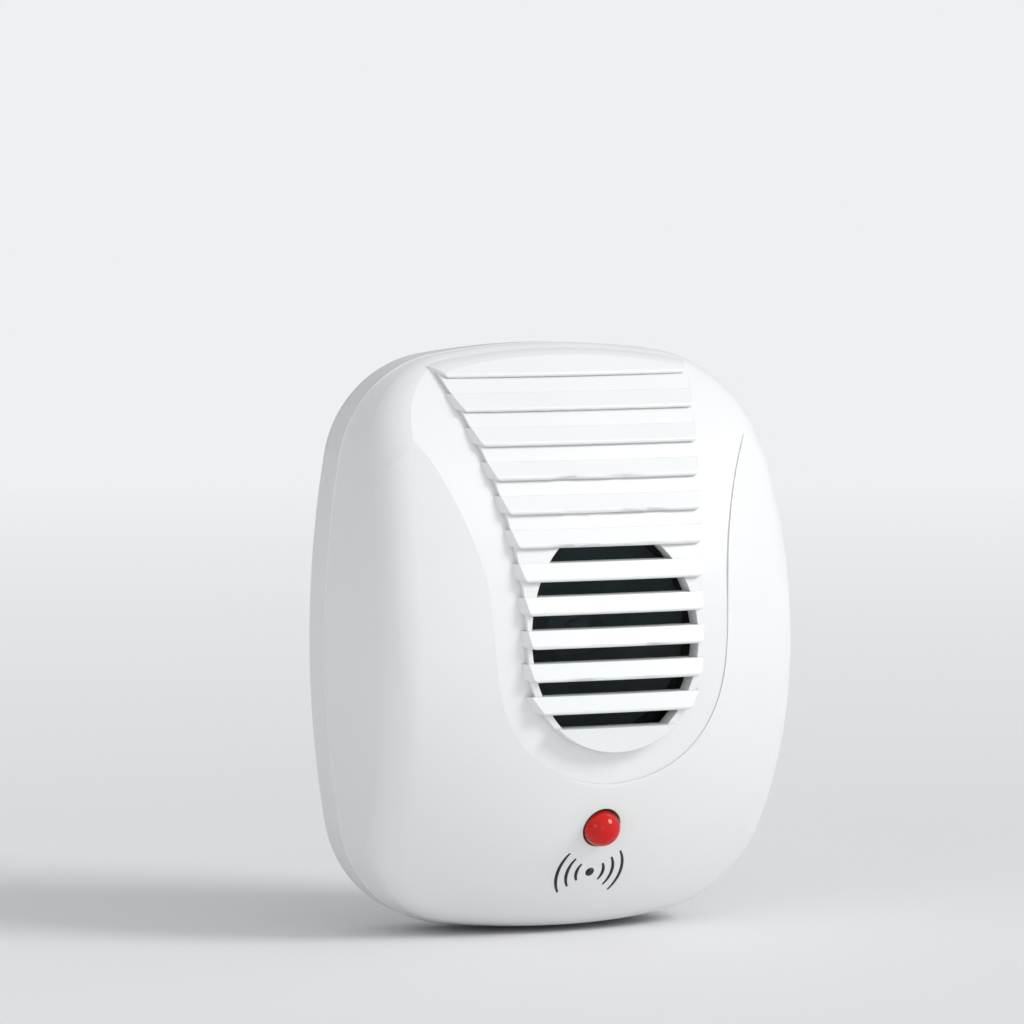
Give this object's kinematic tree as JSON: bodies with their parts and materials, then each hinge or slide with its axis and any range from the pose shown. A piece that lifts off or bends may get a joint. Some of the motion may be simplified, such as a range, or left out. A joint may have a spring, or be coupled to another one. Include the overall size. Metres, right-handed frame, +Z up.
{
  "type": "ultrasonic pest repeller",
  "caption": "Plug-in ultrasonic pest repeller: domed white case with a louvred tweeter grille, a red indicator lamp and two flat plug blades.",
  "frame": {"origin": "midway between the two plug blades, on the flat rear face that meets the wall plate", "axes": "+Y into the wall along the blades, +Z up, +X to the right seen from the front"},
  "size_m": [0.0664, 0.0527, 0.082],
  "materials": {
    "white_case": "fine satin moulded",
    "label_film": "satin film",
    "zinc_screw": "zinc plated",
    "plated_brass": "nickel plated, satin",
    "black_moulding": "matt moulded",
    "sleeve_black": "satin",
    "wire_white": "satin",
    "wire_black": "satin",
    "wire_red": "satin",
    "board_laminate": "resin laminate",
    "solder": "bright solder",
    "resistor_tan": "lacquered",
    "resistor_blue": "lacquered",
    "fuse_green": "lacquered",
    "film_yellow": "glossy box",
    "diode_black": "moulded epoxy",
    "zener_orange": "glass bead",
    "can_sleeve": "shrink sleeve",
    "chip_black": "moulded epoxy",
    "disc_ochre": "dipped lacquer",
    "ferrite": "ferrite",
    "copper_enamel": "enamelled copper wire",
    "led_red": "red diffused epoxy",
    "tinned_lead": "tinned",
    "spacer_black": "nylon",
    "foam": "closed cell foam",
    "cone_paper": "coated paper",
    "brass_disc": "rolled brass",
    "ceramic": "silvered ceramic"
  },
  "bodies": {
    "housing": {"front_cover": "white_case", "rear_cover": "white_case", "rear_label": "label_film", "cover_screws": "zinc_screw", "blade_left": "plated_brass", "blade_right": "plated_brass", "blade_carrier": "black_moulding", "carrier_screws": "zinc_screw", "shrink_sleeves": "sleeve_black", "line_wire": "wire_black", "neutral_wire": "wire_white", "circuit_board": "board_laminate", "board_screws": "zinc_screw", "solder_joints": "solder", "fusible_resistor": "fuse_green", "bleed_resistor": "resistor_blue", "dropper_capacitor": "film_yellow", "rectifier_diodes": "diode_black", "zener_diode": "zener_orange", "filter_capacitor": "can_sleeve", "oscillator_chip": "chip_black", "driver_transistors": "chip_black", "carbon_resistors": "resistor_tan", "ceramic_capacitors": "disc_ochre", "coil_core": "ferrite", "coil_winding": "copper_enamel", "indicator_led": "led_red", "led_leads": "tinned_lead", "led_spacer": "spacer_black", "foam_gasket": "foam", "tweeter_frame": "black_moulding", "tweeter_surround": "foam", "tweeter_cap": "black_moulding", "tweeter_tabs": "plated_brass", "tweeter_wire_red": "wire_red", "tweeter_wire_black": "wire_black", "tweeter_screws": "zinc_screw"},
    "diaphragm": {"tweeter_diaphragm": "cone_paper", "piezo_disc": "brass_disc", "piezo_ceramic": "ceramic"}
  },
  "joints": [
    {"name": "diaphragm_stroke", "type": "slide", "parent": "housing", "child": "diaphragm", "axis": [0, -1, 0], "range_m": [-0.00005, 0.00005], "stiffness_N_per_m": 2000}
  ]
}
